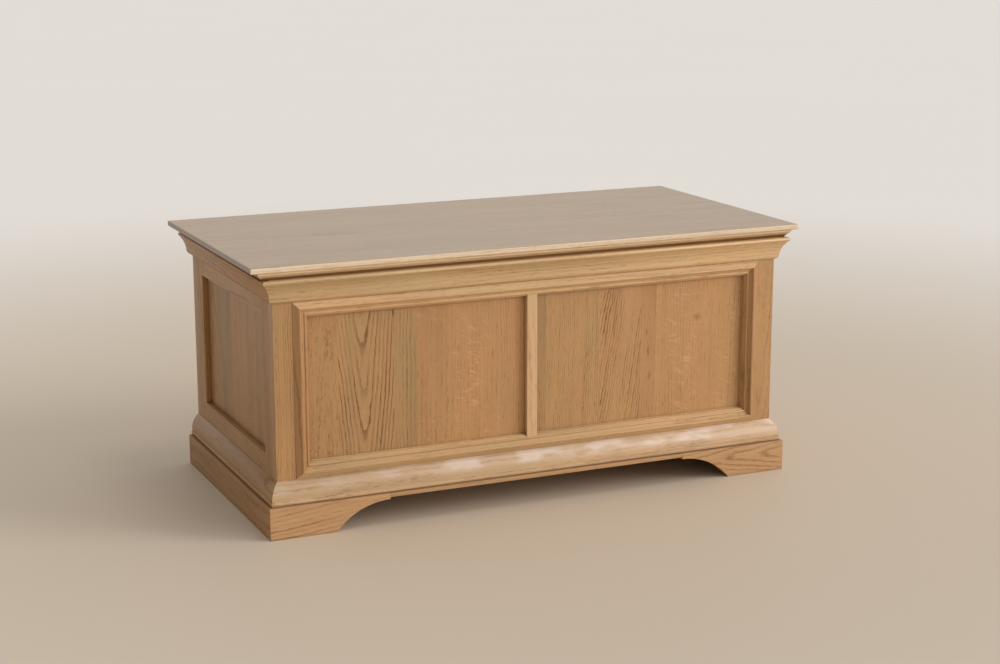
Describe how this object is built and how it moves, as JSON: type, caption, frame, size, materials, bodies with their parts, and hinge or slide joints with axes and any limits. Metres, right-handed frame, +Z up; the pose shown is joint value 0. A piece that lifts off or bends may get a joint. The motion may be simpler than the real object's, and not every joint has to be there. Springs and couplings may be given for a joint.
{
  "type": "wooden chest",
  "caption": "Oak blanket chest for storage, with a frame-and-panel front, bracket-foot plinth, cornice and a hinged moulded lid held open by a folding stay.",
  "frame": {"origin": "on the floor, under the middle of the whole chest", "axes": "+X along the front to the right as seen from the front, +Y from front to back, +Z up"},
  "size_m": [1.102, 0.5626, 0.4911],
  "materials": {
    "oak_lid": "satin lacquered oak, grain along the lid",
    "oak_panel": "satin lacquered oak staves, upright grain",
    "oak_frame": "satin lacquered oak",
    "oak_moulding": "satin lacquered oak, moulded",
    "oak_plinth": "satin lacquered oak, level grain",
    "pine_inside": "bare softwood",
    "brass": "satin brass",
    "steel_screws": "plated wood screws"
  },
  "bodies": {
    "chest": {"front_panel_left": "oak_panel", "front_panel_right": "oak_panel", "side_panel_left": "oak_panel", "side_panel_right": "oak_panel", "back_panel": "oak_panel", "front_stile_left": "oak_frame", "front_stile_right": "oak_frame", "front_rail_top": "oak_frame", "front_rail_bottom": "oak_frame", "front_muntin": "oak_frame", "side_stile_front_left": "oak_frame", "side_stile_back_left": "oak_frame", "side_rail_top_left": "oak_frame", "side_rail_bottom_left": "oak_frame", "side_stile_front_right": "oak_frame", "side_stile_back_right": "oak_frame", "side_rail_top_right": "oak_frame", "side_rail_bottom_right": "oak_frame", "back_stile_left": "oak_frame", "back_stile_right": "oak_frame", "back_rail_top": "oak_frame", "back_rail_bottom": "oak_frame", "hinge_rail": "oak_frame", "panel_moulding_top": "oak_moulding", "panel_moulding_bottom": "oak_moulding", "panel_moulding_left": "oak_moulding", "panel_moulding_right": "oak_moulding", "cornice_front": "oak_moulding", "cornice_left": "oak_moulding", "cornice_right": "oak_moulding", "base_moulding_front": "oak_moulding", "base_moulding_left": "oak_moulding", "base_moulding_right": "oak_moulding", "foot_front_left": "oak_plinth", "foot_front_right": "oak_plinth", "apron_front": "oak_plinth", "plinth_side_left": "oak_plinth", "plinth_side_right": "oak_plinth", "plinth_back": "oak_plinth", "corner_blocks": "pine_inside", "floor_bearers": "pine_inside", "floor_boards": "pine_inside", "hinge_leaves_carcass": "brass", "hinge_pins": "brass", "stay_plate_carcass": "brass", "carcass_screws": "steel_screws"},
    "lid": {"lid_board_1": "oak_lid", "lid_board_2": "oak_lid", "lid_board_3": "oak_lid", "lid_frame_front": "oak_moulding", "lid_frame_left": "oak_moulding", "lid_frame_right": "oak_moulding", "lid_frame_back": "oak_moulding", "lid_battens": "pine_inside", "hinge_leaves_lid": "brass", "stay_plate_lid": "brass", "lid_screws": "steel_screws"},
    "stay_lower": {"stay_lower": "brass"},
    "stay_upper": {"stay_upper": "brass"}
  },
  "joints": [
    {"name": "lid_hinge", "type": "hinge", "parent": "chest", "child": "lid", "pos_m": [0, 0.27615, 0.4668], "axis": [-1, 0, 0], "range_deg": [0, 97]},
    {"name": "stay_lower_pivot", "type": "hinge", "parent": "chest", "child": "stay_lower", "pos_m": [0.48, 0.20115, 0.3568], "axis": [-1, 0, 0], "range_deg": [0, 97]},
    {"name": "stay_elbow", "type": "hinge", "parent": "stay_lower", "child": "stay_upper", "pos_m": [0.48, 0.03115, 0.3428], "axis": [-1, 0, 0], "range_deg": [-97, 0]}
  ],
  "couplings": [
    {"joint": "stay_lower_pivot", "follows": "lid_hinge", "ratio": 1},
    {"joint": "stay_elbow", "follows": "lid_hinge", "ratio": -1}
  ]
}
